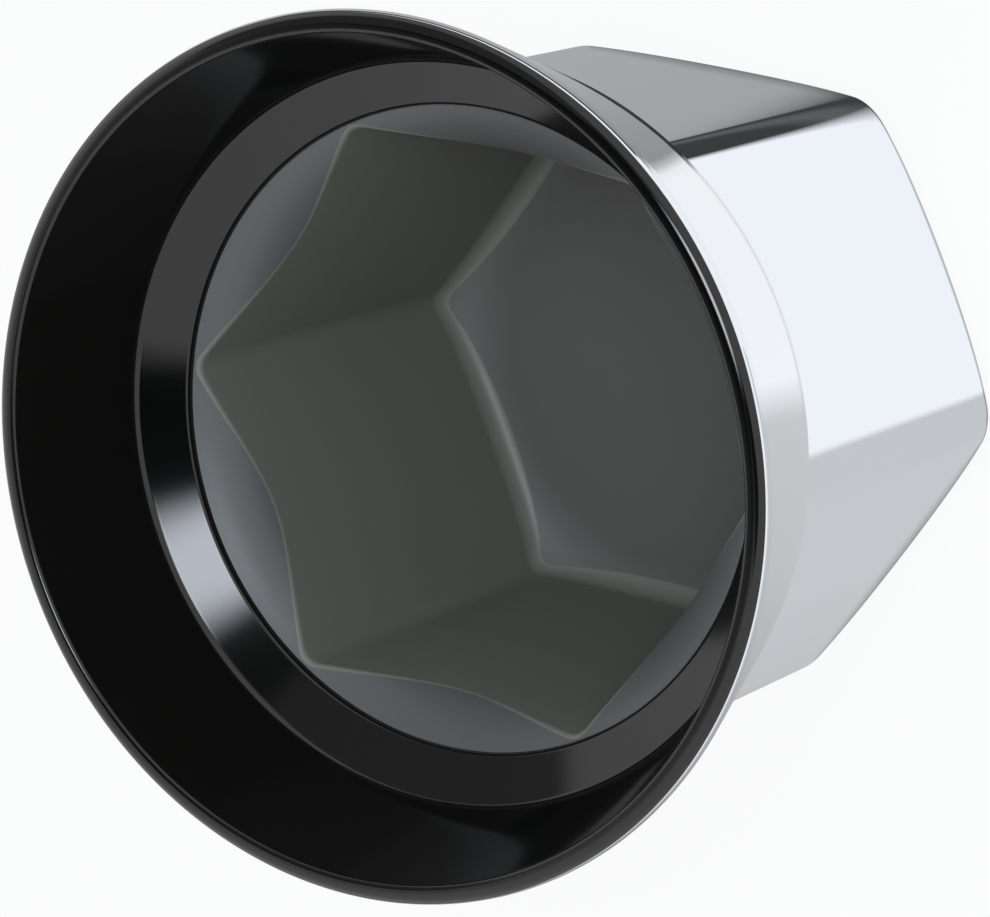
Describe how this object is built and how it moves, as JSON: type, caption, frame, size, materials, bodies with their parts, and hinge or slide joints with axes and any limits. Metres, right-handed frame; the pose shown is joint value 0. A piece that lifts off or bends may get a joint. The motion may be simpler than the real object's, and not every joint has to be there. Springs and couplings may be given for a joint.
{
  "type": "wheel nut cover cap",
  "caption": "Chrome-plated push-on wheel nut cover: a hexagonal cap with a crowned closed end and a flared round skirt around its open mouth.",
  "frame": {"origin": "centre of the flat on the closed end, which the cap stands on", "axes": "+Z along the cap's axis, out of the open mouth; a hexagon flat faces -Y and hexagon corners lie on +X and -X"},
  "size_m": [0.0506, 0.0506, 0.041],
  "materials": {
    "chrome_plate": "bright plating on the outside of the moulded plastic, up to the lip's outer edge; bare glossy black on the lip and inside the skirt; dull grey in the socket"
  },
  "bodies": {
    "root": {"nut_cover_cap": "chrome_plate"}
  },
  "joints": []
}
